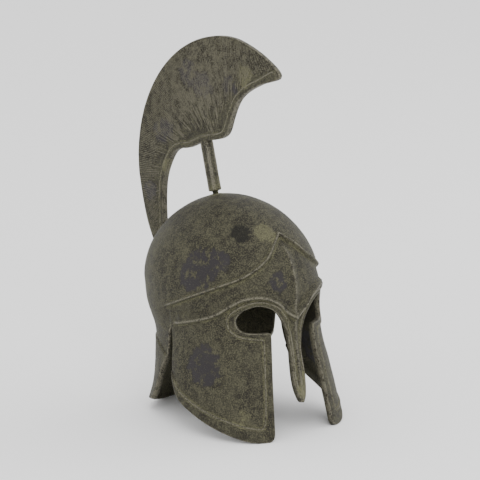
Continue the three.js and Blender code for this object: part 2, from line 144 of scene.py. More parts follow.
# Bottom edge of a cheek guard and the inner line of its border.
GUARD_FOOT = table(
    "turn climb in_turn in_climb",
    (27, 0, 33, 18), (33, 0, 36, 19), (40.5, 3, 42.9, 22.5), (50, 9.5, 51, 27.5),
    (60, 18, 60.5, 34), (70.3, 28, 70.8, 42), (78, 36, 78.5, 49), (84, 44.5, 84, 56),
    (87.5, 53, 86, 60),
)

# Rear edge of a cheek guard, upwards, then the front edge of the neck guard, downwards.
NOTCH = table(
    "turn climb",
    (87.5, 53), (91, 66), (93.6, 84), (94.9, 112), (95, 126), (95.8, 128.5), (96.8, 126),
    (99.2, 113), (100.6, 98), (103, 83), (109, 68), (114.5, 50), (120, 30), (124, 20),
)

NAPE_FOOT = table(
    "turn climb",
    (124, 20), (135, 15), (150, 7), (164, 1.5), (171, 0), (180, 0),
)

# Lower edge of the crest from its front tip back to the tail on the nape, as y and z.
CREST_UNDERSIDE = [
    (-57, 430), (-36, 420), (-21, 410), (-11.5, 399), (-3, 382), (4, 364), (11, 355.5),
    (24, 350), (50, 344), (78, 332), (94, 329), (107, 322.5), (117, 309), (125, 292),
    (129, 274), (130, 245), (127, 205),
]

# Upper edge of the crest from its front tip to the arc, and its back edge below the arc.
CREST_FRONT = [(-86.5, 448.6), (-77.5, 455.3), (-56, 466.6), (-34, 475), (-12, 480.8)]
CREST_TAIL = [(171.5, 252), (162.5, 223), (150, 198), (139, 180)]

# ------------------------------------------------------------------ curves in the tables


def ease(value):
    held = np.clip(value, 0.0, 1.0)
    return held * held * (3 - 2 * held)


def bell(value, middle, width):
    return np.exp(-(((value - middle) / width) ** 2))


def smooth(knots, values, at):
    """Smooth curve through the knots of a table."""
    step = np.diff(knots)
    rise = np.diff(values) / step
    inner = (rise[:-1] * step[1:] + rise[1:] * step[:-1]) / (step[:-1] + step[1:])
    slope = np.concatenate([rise[:1], inner, rise[-1:]])
    i = np.clip(np.searchsorted(knots, at, side="right") - 1, 0, len(knots) - 2)
    t = (at - knots[i]) / step[i]
    t2, t3 = t * t, t * t * t
    return (
        (2 * t3 - 3 * t2 + 1) * values[i]
        + (t3 - 2 * t2 + t) * step[i] * slope[i]
        + (3 * t2 - 2 * t3) * values[i + 1]
        + (t3 - t2) * step[i] * slope[i + 1]
    )


def refine(rows, names, pieces=12):
    """Columns of a table with extra rows on smooth curves between its own."""
    count = len(rows[names[0]])
    at = np.linspace(0, count - 1, (count - 1) * pieces + 1)
    return [smooth(np.arange(count, dtype=float), rows[name], at) for name in names]


# ------------------------------------------------------------------ the bowl's surface

CROWN_HEIGHT = CROWN_TOP - CROWN_START
CLIMB_END = CROWN_START + CROWN_HEIGHT * math.pi / 2


def bowl_point(turn, climb):
    turn, climb = np.broadcast_arrays(np.asarray(turn, float), np.asarray(climb, float))
    level = np.clip(climb, 0, CROWN_START)
    arc = np.clip((climb - CROWN_START) / CROWN_HEIGHT, 0, math.pi / 2)
    up, out = np.sin(arc), np.maximum(np.cos(arc), 0)
    rounding = (up**CROWN_FULLNESS + out**CROWN_FULLNESS) ** (-1 / CROWN_FULLNESS)
    to_neck = ease((np.abs(turn) - CHEEK_END) / (NECK_START - CHEEK_END))
    value = {name: smooth(LEVELS["height"], LEVELS[name], level) for name in LEVELS}
    across, ahead = np.sin(np.radians(turn)), np.cos(np.radians(turn))
    square = value["square"] + (NAPE_SQUARENESS - value["square"]) * to_neck
    size = out * rounding * (np.abs(across) ** square + np.abs(ahead) ** square) ** (-1 / square)
    width = value["cheek"] + (value["neck"] - value["cheek"]) * to_neck
    reach = np.where(ahead > 0, value["front"], value["rear"])
    crown = CROWN_START + CROWN_HEIGHT * up * rounding
    height = np.where(climb > CROWN_START, crown, climb)
    return np.stack([size * width * across, -size * reach * ahead, height], -1)


def bowl_normal(turn, climb):
    probe = 0.4
    high = np.clip(climb, probe, CLIMB_END - 2)
    around = bowl_point(turn + probe, high) - bowl_point(turn - probe, high)
    upward = bowl_point(turn, high + probe) - bowl_point(turn, high - probe)
    normal = np.cross(around, upward)
    return normal / np.linalg.norm(normal, axis=-1, keepdims=True)


class Chart:
    """A flat map of the bowl, seen from under its crown, on which small shapes keep theirs."""

    def __init__(self):
        self.climb = np.linspace(-8, CLIMB_END - 0.02, 4000)
        turns = np.linspace(0, 180, 13)
        grid = bowl_point(turns[None, :], self.climb[:, None])
        grid[..., 2] = np.where(self.climb[:, None] < 0, self.climb[:, None], grid[..., 2])
        self.radius = np.linalg.norm(grid[..., :2], axis=-1).mean(1)
        step = np.linalg.norm(np.diff(grid, axis=0), axis=-1).mean(1)
        middle = (self.radius[1:] + self.radius[:-1]) / 2
        log_reach = np.concatenate([[0], -np.cumsum(step / middle)])
        at_crown = np.interp(CROWN_START, self.climb, log_reach)
        self.log_reach = log_reach - at_crown + math.log(np.interp(CROWN_START, self.climb, self.radius))

    def flat(self, turn, climb):
        reach = np.exp(np.interp(climb, self.climb, self.log_reach))
        angle = np.radians(turn)
        return np.stack([reach * np.sin(angle), -reach * np.cos(angle)], -1)

    def lift(self, flat):
        reach = np.log(np.maximum(np.linalg.norm(flat, axis=-1), 1e-9))
        climb = np.interp(-reach, -self.log_reach, self.climb)
        return np.degrees(np.arctan2(flat[:, 0], -flat[:, 1])), climb

    def scale(self, climb):
        """Map units for a millimetre of surface."""
        return np.exp(np.interp(climb, self.climb, self.log_reach)) / np.interp(
            climb, self.climb, self.radius
        )


chart = Chart()


def along(points):
    """Distance travelled at each point of a line."""
    return np.concatenate([[0], np.cumsum(np.linalg.norm(np.diff(points, axis=0), axis=1))])


def side_normals(flat, closed=False):
    """Unit vectors to the left of a line's way."""
    if closed:
        heading = np.roll(flat, -1, 0) - np.roll(flat, 1, 0)
    else:
        heading = np.gradient(flat, axis=0)
    left = np.stack([-heading[:, 1], heading[:, 0]], -1)
    return left / np.linalg.norm(left, axis=1, keepdims=True)


def nearest(tree_points, points):
    """Index of the nearest of tree_points, and the distance, for each point."""
    tree = KDTree(len(tree_points))
    for i, point in enumerate(tree_points):
        tree.insert(point, i)
    tree.balance()
    found = [tree.find(point)[1:] for point in points]
    return np.array([f[0] for f in found]), np.array([f[1] for f in found])


class SurfaceLine:
    """A line drawn on the right half of the bowl, with a signed distance to it."""

    STEP = 0.4

    def __init__(self, turn, climb):
        travelled = along(bowl_point(turn, climb))
        at = np.linspace(0, travelled[-1], int(travelled[-1] / self.STEP) + 1)
        self.turn = np.interp(at, travelled, turn)
        self.climb = np.interp(at, travelled, climb)
        self.length = travelled[-1]
        self.flat = chart.flat(self.turn, self.climb)
        self.left = side_normals(self.flat)
        self.solid = bowl_point(self.turn, self.climb)

    def distance(self, turn, climb, solid):
        """Distance in mm, positive on the left of the line's way."""
        index, gap = nearest(self.solid, solid)
        away = chart.flat(turn, climb) - self.flat[index]
        return gap * np.sign((away * self.left[index]).sum(1) + 1e-12)

    def rows(self, offsets, spacing):
        """Points on lines beside this one, evenly spaced along it, as turn and climb."""
        count = max(2, int(self.length / spacing) + 1)
        pick = np.linspace(0, len(self.turn) - 1, count).astype(int)
        step = chart.scale(self.climb[pick])[:, None]
        moved = [self.flat[pick] + self.left[pick] * step * gap for gap in offsets]
        return np.concatenate(moved)


border_line = SurfaceLine(
    *[
        np.concatenate([a, b[1:]])
        for a, b in zip(
            refine(FACE_EDGE, ("in_turn", "in_climb")), refine(GUARD_FOOT, ("in_turn", "in_climb"))
        )
    ]
)
brow_line = SurfaceLine(*refine(BROW, ("turn", "climb")))
crown_line = SurfaceLine(*refine(CROWN_EDGE, ("turn", "climb")))
keel_line = SurfaceLine(np.zeros(60), np.linspace(45, 252, 60))

# ------------------------------------------------------------------ relief of the casting


def brow_height(above, turn):
    """Section of the brow rib: a sharp lower bead, a shallow saddle and a softer upper bead."""
    parting = 3.0 + 4.0 * ease((turn - 55) / 30)
    lower = BROW_LOWER - 0.6 * np.maximum(0, np.abs(above + 0.6) - 0.7) ** 1.6
    upper = BROW_UPPER - 0.6 * np.abs(above - parting) ** 1.4
    saddle = np.where((above > -0.6) & (above < parting), BROW_SADDLE, -9)
    fade = 8 * ease((turn - 84) / 12)
    return np.maximum(np.maximum(lower, upper), saddle) - fade


def on_right(solid):
    """The same places folded onto the half of the bowl where the lines are drawn."""
    folded = solid.copy()
    folded[:, 0] = np.abs(folded[:, 0])
    return folded


def outer_relief(turn, climb, solid):
    """Height over the smooth bowl, with masks of ridges, painted lighter as wear and highlight, and of low
    places, painted darker as patina and shade.
    """
    side = np.abs(turn)
    right = on_right(solid)
    border = -border_line.distance(side, climb, right)
    brow = brow_line.distance(side, climb, right)
    crown = crown_line.distance(side, climb, right)
    brow_climb = smooth(BROW["turn"], BROW["climb"], np.minimum(side, 94))
    edge_climb = smooth(CROWN_EDGE["turn"], CROWN_EDGE["climb"], np.minimum(side, 105))

    # The forehead lies below the crown's edge, deepest along it.
    edge_fade = 1 - ease((side - 92) / 12)
    part = np.clip((climb - brow_climb - 4.8) / np.maximum(edge_climb - brow_climb - 7, 1), 0, 1)
    forehead = -(FOREHEAD_STEP + FOREHEAD_SLOPE * part) * edge_fade
    in_forehead = (climb > brow_climb) & (climb < edge_climb)
    field = np.where(in_forehead, forehead, 0.0)

    # The crown's edge is a thin bead with a groove behind it.
    lip = CROWN_LIP - 0.6 * np.abs(crown - 0.9) ** 2.0
    crown_profile = np.where(crown < -2.2, -9, lip)
    dome = -CROWN_GROOVE * bell(crown, 3.6, 0.9)
    field = np.where(crown > 0, dome * edge_fade, field)
    field = np.maximum(field, np.where(edge_fade > 0, crown_profile - 3 * (1 - edge_fade), -9))

    # Behind the temple the neck guard starts from a lower level.
    setback = ease((side - 94.5) / 2) * (1 - ease((side - 99) / 15))
    setback *= ease((climb - 118) / 8) * (1 - ease((climb - 142) / 16))
    field = field - NECK_SETBACK * setback

    # A ridge down the forehead and the nasal.
    keel_fade = ease((climb - 30) / 20) * ease((250 - climb) / 30)
    keel = KEEL_RAISE * keel_fade * np.maximum(0, 1 - side / KEEL_SPREAD)
    nasal = NASAL_RAISE * (1 - ease((climb - 112) / 20)) * (side < 8)
    field = field + nasal

    # Raised borders, with a bead and a groove along their inner line.
    rise = ease((border + 0.5) / 1.0)
    bead = BORDER_BEAD * bell(border, BORDER_BEAD_IN, 0.6)
    groove = -BORDER_GROOVE * bell(border, BORDER_GROOVE_IN, 0.55)
    band = RIM_RAISE + (bead + groove) * ease((border + 0.2) / 0.8)
    height = field + (band - field) * rise
    height = np.maximum(height, brow_height(brow, side)) + keel

    # The crown thickens a little where the post's pin goes in.
    to_pin = np.linalg.norm(solid - POST_FOOT, axis=1)
    height = height + PIN_BOSS * bell(to_pin, 0, 7)

    # Ridge mask: beads, the brow rib, the crown's lip and the keel, painted lighter as wear and painted
    # highlight.
    border_bead = bell(border, BORDER_BEAD_IN, 1.0) * (border > -1)
    beads = np.maximum(border_bead, bell(brow, -0.6, 1.3) * (side < 92))
    beads = np.maximum(beads, bell(crown, 0.9, 1.0) * edge_fade)
    ridge = np.maximum(beads, 0.8 * bell(side, 0, 0.8) * keel_fade)
    # Low mask: grooves, the corners beside the border, the band under the brow rib and under the crown's
    # edge, and the ring round the pin; painted darker as patina and painted shade.
    low = np.maximum(bell(border, BORDER_GROOVE_IN, 0.9), bell(border, -0.9, 0.9))
    low = np.maximum(low, bell(brow, -4.2, 1.4) * (side < 92))
    low = np.maximum(low, bell(crown, -3.0, 1.8) * edge_fade)
    low = np.maximum(low, 0.8 * bell(crown, 3.4, 1.0) * edge_fade)
    low = np.maximum(low, bell(to_pin, 4, 2.2))
    return height, ridge, low, border


def wall_depth(climb, border):
    lower = ease((climb - 90) / 50)
    upper = ease((climb - CROWN_START) / CROWN_HEIGHT)
    wall = WALL_LOW + (WALL_BROW - WALL_LOW) * lower + (WALL_TOP - WALL_BROW) * upper
    return wall + (RIM_DEPTH - wall) * ease((border + 5) / 6)


def lumps(solid, size, seed):
    """Soft unevenness of a casting, from -1 to 1, over lumps of about this size in mm."""
    shift = Vector((seed * 17.3, seed * -9.1, seed * 5.7))
    return np.array([noise.noise(Vector(point) / size + shift) for point in solid])


# ------------------------------------------------------------------ meshes over an outline


def fill_outline(flat, loops):
    """Triangles over scattered points, inside closed loops of constraint edges."""
    edges = [(loop[i - 1], loop[i]) for loop in loops for i in range(len(loop))]
    verts, _, faces, sources, _, _ = delaunay_2d_cdt(
        [Vector(p) for p in flat], [(int(a), int(b)) for a, b in edges], [], 1, 1e-6
    )
    source = [s[0] if s else -1 for s in sources]
    out = [[source[i] for i in face] for face in faces]
    return np.array([face for face in out if min(face) >= 0 and len(set(face)) == 3])


def strip(first, second):
    """Faces between two closed rows of equally many vertices."""
    a, b = np.asarray(first), np.asarray(second)
    return np.stack([a, np.roll(a, -1), np.roll(b, -1), b], -1)


def mesh_object(name, points, faces, marks, material):
    """A closed piece from points in mm around the bowl's axis, placed in the frame."""
    mesh = bpy.data.meshes.new(name)
    placed = (np.asarray(points) + (0, BOWL_AXIS_Y, 0)) * MM
    mesh.from_pydata(placed.tolist(), [], [list(map(int, face)) for face in faces])
    for mark, values in marks.items():
        layer = mesh.attributes.new(mark, "FLOAT", "POINT")
        layer.data.foreach_set("value", np.asarray(values, np.float32))
    shell = bmesh.new()
    shell.from_mesh(mesh)
    loose = [v for v in shell.verts if not v.link_faces]
    bmesh.ops.delete(shell, geom=loose, context="VERTS")
    bmesh.ops.recalc_face_normals(shell, faces=shell.faces)
    if shell.calc_volume(signed=True) < 0:
        bmesh.ops.reverse_faces(shell, faces=shell.faces)
    shell.to_mesh(mesh)
    shell.free()
    mesh.polygons.foreach_set("use_smooth", [True] * len(mesh.polygons))
    mesh.materials.append(material)
    piece = bpy.data.objects.new(name, mesh)
    bpy.context.scene.collection.objects.link(piece)
    return piece


def even_loop(flat, solid, spacing):
    """A closed line with evenly spaced points and softened corners."""
    travelled = along(np.concatenate([solid, solid[:1]]))
    closed = np.concatenate([flat, flat[:1]])
    count = int(travelled[-1] / spacing)
    at = np.arange(count) * travelled[-1] / count
    loop = np.stack([np.interp(at, travelled, closed[:, k]) for k in (0, 1)], -1)
    for _ in range(3):
        loop = (np.roll(loop, 1, 0) + 2 * loop + np.roll(loop, -1, 0)) / 4
    return loop


def inward_normals(loop):
    left = side_normals(loop, closed=True)
    for _ in range(3):
        left = (np.roll(left, 1, 0) + 2 * left + np.roll(left, -1, 0)) / 4
    left /= np.linalg.norm(left, axis=1, keepdims=True)
    x, y = loop[:, 0], loop[:, 1]
    area = (x * np.roll(y, -1) - y * np.roll(x, -1)).sum()
    return left if area > 0 else -left


def quarter_round(inset, radius):
    """How far a rounded edge falls below the face, this far in from the side."""
    left = np.clip(radius - inset, 0, radius)
    return radius - math.sqrt(radius * radius - left * left)


# ------------------------------------------------------------------ the helmet shell

EDGE_SPACING = 1.5
OUTER_SPACING = 2.1
INNER_SPACING = 4.5
ROUND_ROWS = (1.0, 0.5, 0.16, 0.0)      # insets of the rows that round an edge, in its radius


BORDER_ROWS = (1.4, 0.8, 0.3, -0.3, -0.8, -1.3, -1.9, -2.5, -3.2, -4.0)
BROW_ROWS = (
    -4.6, -3.6, -2.8, -2.1, -1.5, -0.9, -0.3, 0.3, 0.9, 1.5, 2.2, 3.0, 4.0, 5.2,
)
CROWN_ROWS = (-3.2, -2.4, -1.9, -1.3, -0.5, 0.3, 0.9, 1.5, 2.2, 3.1, 4.2)
KEEL_ROWS = (-2.0, 0.0, 2.0)
RIM_ROWS = (2.9, 4.4)
BORDER_SPACING, LINE_SPACING, KEEL_SPACING = 1.6, 1.7, 2.0
SCATTER_GAPS = (0.55, 0.5, 0.5, 0.9, 0.9, 1.15)


def shell_outline():
    turn, climb = refine(FACE_EDGE, ("turn", "climb"))
    for rows in (GUARD_FOOT, NOTCH, NAPE_FOOT):
        more_turn, more_climb = refine(rows, ("turn", "climb"))
        turn = np.concatenate([turn, more_turn[1:]])
        climb = np.concatenate([climb, more_climb[1:]])
    climb = np.maximum(climb, 0)
    turn = np.concatenate([turn, -turn[-2:0:-1]])
    climb = np.concatenate([climb, climb[-2:0:-1]])
    return even_loop(chart.flat(turn, climb), bowl_point(turn, climb), EDGE_SPACING)


def background(spacing):
    """Evenly scattered points over the whole bowl."""
    flats = []
    climb = 1.0
    row = 0
    while climb < CLIMB_END - 1:
        radius = np.interp(climb, chart.climb, chart.radius)
        count = max(6, int(2 * math.pi * radius / spacing))
        turn = (np.arange(count) + 0.5 * (row % 2)) * 360 / count - 180
        flats.append(chart.flat(turn, np.full(count, climb)))
        probe = bowl_point(90, np.array([climb, climb + 1]))
        climb += spacing * 0.87 / np.linalg.norm(probe[1] - probe[0])
        row += 1
    return np.concatenate(flats)


def mirrored(flat):
    return np.concatenate([flat, flat * (-1, 1)])


def clean_scatter(groups, gaps):
    """Scattered map points, thinned by their true distances on the bowl."""
    kept_flat = groups[0]
    kept_solid = bowl_point(*chart.lift(groups[0]))
    for flat, gap in zip(groups[1:], gaps):
        solid = bowl_point(*chart.lift(flat))
        _, far = nearest(kept_solid, solid)
        kept_flat = np.concatenate([kept_flat, flat[far > gap]])
        kept_solid = np.concatenate([kept_solid, solid[far > gap]])
    return kept_flat


def helmet_shell(material):
    outline = shell_outline()
    inward = inward_normals(outline)
    _, outline_climb = chart.lift(outline)
    scale = chart.scale(outline_climb)[:, None]
    count = len(outline)
    start = outline + inward * scale * EDGE_ROUND

    rim_rows = np.concatenate([outline + inward * scale * gap for gap in RIM_ROWS])
    groups = [
        start,
        mirrored(border_line.rows(BORDER_ROWS, BORDER_SPACING)),
        mirrored(brow_line.rows(BROW_ROWS, LINE_SPACING)),
        mirrored(crown_line.rows(CROWN_ROWS, LINE_SPACING)),
        keel_line.rows(KEEL_ROWS, KEEL_SPACING),
        rim_rows,
        background(OUTER_SPACING),
    ]
    flat = clean_scatter(groups, SCATTER_GAPS)
    outer_faces = fill_outline(flat, [np.arange(count)])
    turn, climb = chart.lift(flat)
    solid = bowl_point(turn, climb)
    height, ridge, low, _ = outer_relief(turn, climb, solid)
    uneven = CAST_WAVE * (lumps(solid, CAST_WAVE_SIZE, 1) - 0.4)
    uneven += CAST_RIPPLE * lumps(solid, CAST_RIPPLE_SIZE, 2)
    points = [solid + bowl_normal(turn, climb) * (height + uneven)[:, None]]
    marks = {"ridge": [ridge], "low": [low]}
    total = len(flat)

    # Rows round the outer edge, across the side and round the inner edge.
    faces = [outer_faces]
    last_row = np.arange(count)
    rows = [(inset, False) for inset in ROUND_ROWS[1:]]
    rows += [(inset, True) for inset in ROUND_ROWS[::-1]]
    for inset, inner in rows:
        row_flat = outline + inward * scale * inset * EDGE_ROUND
        row_turn, row_climb = chart.lift(row_flat)
        row_solid = bowl_point(row_turn, row_climb)
        row_height, _, _, row_border = outer_relief(row_turn, row_climb, row_solid)
        fall = quarter_round(inset * EDGE_ROUND, EDGE_ROUND)
        if inner:
            depth = -wall_depth(row_climb, row_border) + fall
        else:
            wave = CAST_WAVE * (lumps(row_solid, CAST_WAVE_SIZE, 1) - 0.4)
            depth = row_height - fall + wave
        points.append(row_solid + bowl_normal(row_turn, row_climb) * depth[:, None])
        # The rounded outer edge is painted lighter, as wear and painted highlight.
        edge_wear_and_highlight = 0.9 if not inner and inset < 0.6 else 0.3
        marks["ridge"].append(np.full(count, edge_wear_and_highlight))
        marks["low"].append(np.zeros(count))
        row = np.arange(total, total + count)
        faces.append(strip(last_row, row))
        last_row = row
        total += count

    # The inner skin starts from that last row.
    inner_flat = clean_scatter([start, rim_rows[:count:3], background(INNER_SPACING)], (1.2, 2.4))
    inner_faces = fill_outline(inner_flat, [np.arange(count)])
    inner_turn, inner_climb = chart.lift(inner_flat[count:])
    inner_solid = bowl_point(inner_turn, inner_climb)
    inner_border = -border_line.distance(np.abs(inner_turn), inner_climb, on_right(inner_solid))
    inner_border = np.where(inner_border < 25, inner_border, -25)
    depth = -wall_depth(inner_climb, inner_border) + 0.5 * lumps(inner_solid, 20, 5)
    points.append(inner_solid + bowl_normal(inner_turn, inner_climb) * depth[:, None])
    marks["ridge"].append(np.zeros(len(inner_turn)))
    # The inside is painted darker: painted shade, with a little patina.
    marks["low"].append(np.full(len(inner_turn), 0.4))
    index = np.concatenate([last_row, np.arange(total, total + len(inner_turn))])
    faces.append(index[inner_faces])

    points = np.concatenate(points)
    points[:, 2] = np.maximum(points[:, 2], 0)
    all_faces = [face for group in faces for face in group.tolist()]
    return mesh_object(
        "helmet_bronze", points, all_faces, {k: np.concatenate(v) for k, v in marks.items()}, material
    )


# ------------------------------------------------------------------ the crest


def curve_through(points, pieces=14):
    """A smooth line through points, with a Catmull-Rom spline."""
    p = np.array(points, float)
    padded = np.concatenate([p[:1], p, p[-1:]])
    out = []
    for i in range(len(p) - 1):
        a, b, c, d = padded[i : i + 4]
        t = np.arange(pieces)[:, None] / pieces
        out.append(
            0.5
            * (
                2 * b
                + (c - a) * t
                + (2 * a - 5 * b + 4 * c - d) * t**2
                + (3 * b - a - 3 * c + d) * t**3
            )
        )
    return np.concatenate(out + [p[-1:]])


def bent(start, middle, end, pieces=10):
    """A quadratic bend."""
    t = np.linspace(0, 1, pieces)[:, None]
    a, b, c = (np.array(p, float) for p in (start, middle, end))
    return (1 - t) ** 2 * a + 2 * t * (1 - t) * b + t**2 * c


CREST_ROUND = 1.1                # radius along the crest's edges
CREST_SPACING = 2.0


def crest_outline():
    angle = np.radians(np.linspace(90, -8, 120))
    arc = CREST_CENTRE + CREST_RADIUS * np.stack([np.cos(angle), np.sin(angle)], -1)
    return np.concatenate(
        [
            bent((-80, 437), (-94.5, 442), CREST_FRONT[0]),
            curve_through(CREST_FRONT + [arc[0]])[1:],
            arc[1:],
            curve_through([arc[-1]] + CREST_TAIL)[1:],
            bent(CREST_TAIL[-1], (130, 166), (124, 178))[1:],
            curve_through([(124, 178)] + CREST_UNDERSIDE[::-1])[1:],
        ]
    )


crest_under = curve_through([(-78, 441)] + CREST_UNDERSIDE)


def crest_rim_distance(flat):
    """Distance from the crest's lower edge, in mm."""
    return nearest(np.c_[crest_under, np.zeros(len(crest_under))], np.c_[flat, np.zeros(len(flat))])[1]


def crest_relief(flat):
    """Half thickness of the crest over its outline, with its masks."""
    inside = crest_rim_distance(flat)
    inner = CREST_RIM_WIDTH - inside
    rise = ease((inner + 0.5) / 1.0)
    bead = 0.25 * bell(inner, 1.0, 0.5)
    groove = -0.9 * bell(inner, 2.3, 0.5)
    rim = CREST_RIM_HALF + (bead + groove) * ease(inner / 0.8)
    half = CREST_HALF + (rim - CREST_HALF) * rise
    # The rim's bead is painted lighter as wear and highlight; the groove and the step onto the rim are
    # painted darker as patina and painted shade.
    ridge = bell(inner, 1.0, 0.9)
    low = np.maximum(bell(inner, 2.3, 0.8), bell(inner, -0.8, 0.9))
    return half, ridge, low


def crest_scatter(outline, inward, spacing):
    low, high = outline.min(0), outline.max(0)
    ys = np.arange(low[0], high[0], spacing)
    zs = np.arange(low[1], high[1], spacing * 0.87)
    grid = np.array([(y + spacing / 2 * (k % 2), z) for k, z in enumerate(zs) for y in ys])
    beside = side_normals(crest_under)
    pick = np.arange(0, len(crest_under), 2)
    offsets = [CREST_RIM_WIDTH - g for g in (-1.2, -0.5, 0.0, 0.5, 1.0, 1.6, 2.3, 3.0)]
    lines = np.concatenate([crest_under[pick] + beside[pick] * gap for gap in offsets])
    start = outline + inward * CREST_ROUND
    kept = start
    for points, gap in ((lines, 0.5), (grid, 1.2)):
        _, far = nearest(np.c_[kept, np.zeros(len(kept))], np.c_[points, np.zeros(len(points))])
        kept = np.concatenate([kept, points[far > gap]])
    return kept


def crest_plate(material):
    raw = crest_outline()
    outline = even_loop(raw, np.c_[raw, np.zeros(len(raw))], 1.6)
    inward = inward_normals(outline)
    count = len(outline)
    flat = crest_scatter(outline, inward, CREST_SPACING)
    face = fill_outline(flat, [np.arange(count)])
    half, ridge, low = crest_relief(flat)
    points, faces = [], []
    marks = {"ridge": [], "low": []}
    total = 0
    rings = {}
    for side in (-1, 1):
        solid = np.c_[np.zeros(len(flat)), flat]
        uneven = 0.18 * (lumps(solid + 50 * side, 18, 3) - 0.6)
        solid[:, 0] = side * (half + uneven)
        points.append(solid)
        faces.append(face + total)
        marks["ridge"].append(ridge)
        marks["low"].append(low)
        rings[side] = np.arange(total, total + count)
        total += len(flat)
    last = rings[-1]
    rows = [(inset, -1) for inset in ROUND_ROWS[1:]]
    rows += [(inset, 1) for inset in ROUND_ROWS[:0:-1]]
    for inset, side in rows:
        row_flat = outline + inward * inset * CREST_ROUND
        row_half, _, _ = crest_relief(row_flat)
        fall = quarter_round(inset * CREST_ROUND, CREST_ROUND)
        points.append(np.c_[side * (row_half - fall), row_flat])
        # Rounded edges painted lighter, as wear and painted highlight.
        marks["ridge"].append(np.full(count, 0.8))
        marks["low"].append(np.zeros(count))
        row = np.arange(total, total + count)
        faces.append(strip(last, row))
        last = row
        total += count
    faces.append(strip(last, rings[1]))
    all_faces = [f for group in faces for f in group.tolist()]
    return mesh_object(
        "crest_bronze",
        np.concatenate(points),
        all_faces,
        {k: np.concatenate(v) for k, v in marks.items()},
        material,
    )


# ------------------------------------------------------------------ the post


def post_bar(material):
    """The square bar between crown and crest, with a round neck at its foot."""
    axis = (POST_HEAD - POST_FOOT) / np.linalg.norm(POST_HEAD - POST_FOOT)
    length = np.linalg.norm(POST_HEAD - POST_FOOT)
    across = np.array([1.0, 0.0, 0.0])
    deep = np.cross(axis, across)
    half = POST_SIDE / 2
    turns = np.radians(np.arange(0, 360, 7.5) + 3.75)
    stations = [
        (-9.0, 3.4, 0), (-8.6, PIN_RADIUS, 0), (POST_NECK - 1.0, PIN_RADIUS, 0),
        (POST_NECK - 0.2, 4.6, 0.3), (POST_NECK + 0.3, half - 0.5, 0.85),
        (POST_NECK + 1.0, half - 0.05, 1), (POST_NECK + 2.4, half, 1),
    ]
    stations += [(at, half - 0.06, 1) for at in np.linspace(POST_NECK + 6, length - 8, 26)]
    stations += [(length - 3, half, 1), (length - 1.2, half - 0.1, 1), (length - 0.4, half - 0.6, 0.9)]
    corner = POST_SQUARENESS
    rounded = (np.abs(np.cos(turns)) ** corner + np.abs(np.sin(turns)) ** corner) ** (-1 / corner)
    points = []
    for at, reach, squareness in stations:
        centre = POST_FOOT + axis * at
        out = reach * (1 + (rounded - 1) * squareness)
        ring = centre + out[:, None] * (
            np.cos(turns)[:, None] * across + np.sin(turns)[:, None] * deep
        )
        if squareness == 1:
            wobble = 0.12 * (lumps(ring, 6, 7) - 0.7)
            ring += (ring - centre) / reach * wobble[:, None]
        points.append(ring)
    count = len(turns)
    faces = []
    for k in range(len(stations) - 1):
        faces += strip(np.arange(count) + k * count, np.arange(count) + (k + 1) * count).tolist()
    faces.append(list(range(count)))
    faces.append(list(range(count * (len(stations) - 1), count * len(stations))))
    total = np.concatenate(points)
    # Corners of the bar painted lighter as wear and highlight; the foot painted darker as patina and painted
    # contact shade.
    edges = np.tile(bell(np.abs(np.sin(2 * turns)), 1, 0.25), len(stations))
    foot = np.repeat([1.0 if at < POST_NECK + 1 else 0.0 for at, _, _ in stations], count)
    marks = {"ridge": edges * (1 - foot), "low": foot}
    return mesh_object("post_bronze", total, faces, marks, material)


# ------------------------------------------------------------------ materials


class Socket:
    """A node's output, on which arithmetic adds the Math node that it needs."""

    def __init__(self, paint, output):
        self.paint = paint
        self.output = output

    def math(self, operation, first, second):
        return self.paint.node("ShaderNodeMath", {"operation": operation}, {0: first, 1: second})

    def __add__(self, other):
        return self.math("ADD", self, other)

    def __radd__(self, other):
        return self.math("ADD", other, self)

    def __sub__(self, other):
        return self.math("SUBTRACT", self, other)

    def __rsub__(self, other):
        return self.math("SUBTRACT", other, self)

    def __mul__(self, other):
        return self.math("MULTIPLY", self, other)

    def __rmul__(self, other):
        return self.math("MULTIPLY", other, self)

    def larger(self, other):
        return self.math("MAXIMUM", self, other)


class Tree:
    """A node tree under construction."""

    def __init__(self, tree):
        self.tree = tree

    def node(self, kind, settings, inputs, output=0):
        """Adds a node: its settings first, then the values or links of its sockets."""
        added = self.tree.nodes.new(kind)
        for setting, value in settings.items():
            setattr(added, setting, value)
        for key, value in inputs.items():
            self.put(added.inputs[key], value)
        return Socket(self, added.outputs[output])

    def put(self, target, value):
        if isinstance(value, Socket):
            self.tree.links.new(value.output, target)
        else:
            target.default_value = value


